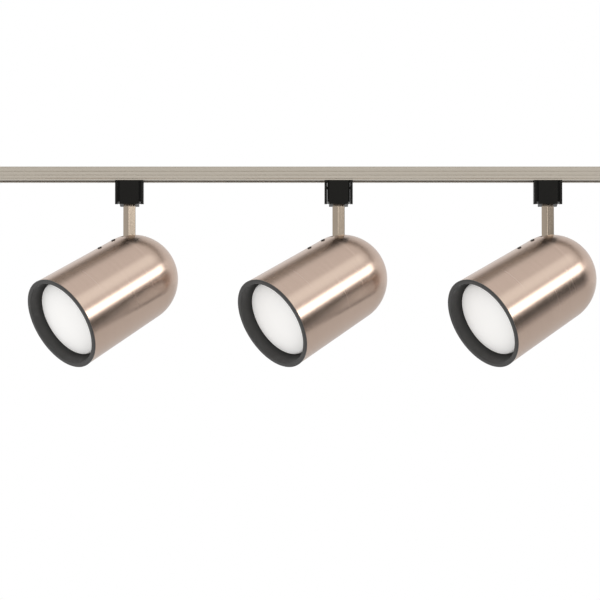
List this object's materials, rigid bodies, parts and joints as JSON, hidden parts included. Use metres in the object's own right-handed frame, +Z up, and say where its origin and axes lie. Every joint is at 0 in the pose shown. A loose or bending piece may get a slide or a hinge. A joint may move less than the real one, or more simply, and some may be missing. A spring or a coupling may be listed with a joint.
{
  "type": "track lighting fixture",
  "caption": "Ceiling track light with swivelling, tilting bullet-shaped heads that slide along an open channel and lock in place.",
  "frame": {"origin": "middle of the track's top face, where it meets the ceiling", "axes": "+X along the track, away from the supply end; -Y towards the room side that the heads face; +Z up"},
  "size_m": [1.185, 0.1617, 0.2399],
  "materials": {
    "track_nickel": "satin nickel coating with fine lengthwise lines",
    "strip_plastic": "extruded grey plastic",
    "copper": "bare rolled copper",
    "end_plastic": "moulded, nickel-grey, fine grain",
    "terminal_plastic": "moulded, pale grey",
    "brass": "drawn brass",
    "plated_steel": "zinc-plated sheet and fasteners",
    "adaptor_plastic": "black moulded plastic with a fine grain",
    "stem_nickel": "brushed nickel plate, lines along the tube",
    "shell_nickel": "spun shell with a warm brushed nickel finish, lines round the axis",
    "baffle_black": "black, satin on the lip and matt inside",
    "rivet_metal": "dulled aluminium",
    "porcelain": "white glazed porcelain",
    "frosted_glass": "white frosted glass",
    "cap_metal": "bare rolled aluminium"
  },
  "bodies": {
    "track": {"track_channel": "track_nickel", "insulator_strips": "strip_plastic", "conductor_strips": "copper", "dead_end_cap": "end_plastic", "feed_housing": "end_plastic", "feed_cover": "end_plastic", "terminal_block": "terminal_plastic", "terminal_screws": "brass", "end_screws": "plated_steel"},
    "adaptor_left": {"adaptor_housing_left": "adaptor_plastic", "adaptor_base_left": "adaptor_plastic", "contact_blades_left": "copper", "lock_spring_left": "plated_steel"},
    "lock_left": {"lock_slide_left": "adaptor_plastic"},
    "stem_left": {"stem_left": "stem_nickel", "swivel_nut_left": "plated_steel"},
    "head_left": {"shell_left": "shell_nickel", "baffle_left": "baffle_black", "hinge_bracket_left": "plated_steel", "bracket_rivets_left": "rivet_metal", "pivot_screw_left": "plated_steel", "pivot_nut_left": "plated_steel", "lampholder_left": "porcelain", "screw_shell_left": "brass", "lamp_glass_left": "frosted_glass", "lamp_cap_left": "cap_metal"},
    "adaptor_middle": {"adaptor_housing_middle": "adaptor_plastic", "adaptor_base_middle": "adaptor_plastic", "contact_blades_middle": "copper", "lock_spring_middle": "plated_steel"},
    "lock_middle": {"lock_slide_middle": "adaptor_plastic"},
    "stem_middle": {"stem_middle": "stem_nickel", "swivel_nut_middle": "plated_steel"},
    "head_middle": {"shell_middle": "shell_nickel", "baffle_middle": "baffle_black", "hinge_bracket_middle": "plated_steel", "bracket_rivets_middle": "rivet_metal", "pivot_screw_middle": "plated_steel", "pivot_nut_middle": "plated_steel", "lampholder_middle": "porcelain", "screw_shell_middle": "brass", "lamp_glass_middle": "frosted_glass", "lamp_cap_middle": "cap_metal"},
    "adaptor_right": {"adaptor_housing_right": "adaptor_plastic", "adaptor_base_right": "adaptor_plastic", "contact_blades_right": "copper", "lock_spring_right": "plated_steel"},
    "lock_right": {"lock_slide_right": "adaptor_plastic"},
    "stem_right": {"stem_right": "stem_nickel", "swivel_nut_right": "plated_steel"},
    "head_right": {"shell_right": "shell_nickel", "baffle_right": "baffle_black", "hinge_bracket_right": "plated_steel", "bracket_rivets_right": "rivet_metal", "pivot_screw_right": "plated_steel", "pivot_nut_right": "plated_steel", "lampholder_right": "porcelain", "screw_shell_right": "brass", "lamp_glass_right": "frosted_glass", "lamp_cap_right": "cap_metal"}
  },
  "joints": [
    {"name": "slide_left", "type": "slide", "parent": "track", "child": "adaptor_left", "axis": [1, 0, 0], "range_m": [-0.26, 0.06]},
    {"name": "lock_release_left", "type": "slide", "parent": "adaptor_left", "child": "lock_left", "axis": [0, 0, -1], "range_m": [0, 0.0035], "stiffness_N_per_m": 600, "springref_m": -0.004, "deforming": ["lock_spring_left"]},
    {"name": "pan_left", "type": "hinge", "parent": "adaptor_left", "child": "stem_left", "pos_m": [-0.248, 0, -0.0446], "axis": [0, 0, 1], "range_deg": [-170, 170]},
    {"name": "tilt_left", "type": "hinge", "parent": "stem_left", "child": "head_left", "pos_m": [-0.248, 0, -0.0948], "axis": [0.5793, -0.8151, 0], "range_deg": [-29.4, 60.6]},
    {"name": "slide_middle", "type": "slide", "parent": "track", "child": "adaptor_middle", "axis": [1, 0, 0], "range_m": [-0.06, 0.06]},
    {"name": "lock_release_middle", "type": "slide", "parent": "adaptor_middle", "child": "lock_middle", "axis": [0, 0, -1], "range_m": [0, 0.0035], "stiffness_N_per_m": 600, "springref_m": -0.004, "deforming": ["lock_spring_middle"]},
    {"name": "pan_middle", "type": "hinge", "parent": "adaptor_middle", "child": "stem_middle", "pos_m": [0, 0, -0.0446], "axis": [0, 0, 1], "range_deg": [-170, 170]},
    {"name": "tilt_middle", "type": "hinge", "parent": "stem_middle", "child": "head_middle", "pos_m": [0, 0, -0.0948], "axis": [0.5793, -0.8151, 0], "range_deg": [-29.4, 60.6]},
    {"name": "slide_right", "type": "slide", "parent": "track", "child": "adaptor_right", "axis": [1, 0, 0], "range_m": [-0.06, 0.26]},
    {"name": "lock_release_right", "type": "slide", "parent": "adaptor_right", "child": "lock_right", "axis": [0, 0, -1], "range_m": [0, 0.0035], "stiffness_N_per_m": 600, "springref_m": -0.004, "deforming": ["lock_spring_right"]},
    {"name": "pan_right", "type": "hinge", "parent": "adaptor_right", "child": "stem_right", "pos_m": [0.248, 0, -0.0446], "axis": [0, 0, 1], "range_deg": [-170, 170]},
    {"name": "tilt_right", "type": "hinge", "parent": "stem_right", "child": "head_right", "pos_m": [0.248, 0, -0.0948], "axis": [0.5793, -0.8151, 0], "range_deg": [-29.4, 60.6]}
  ]
}
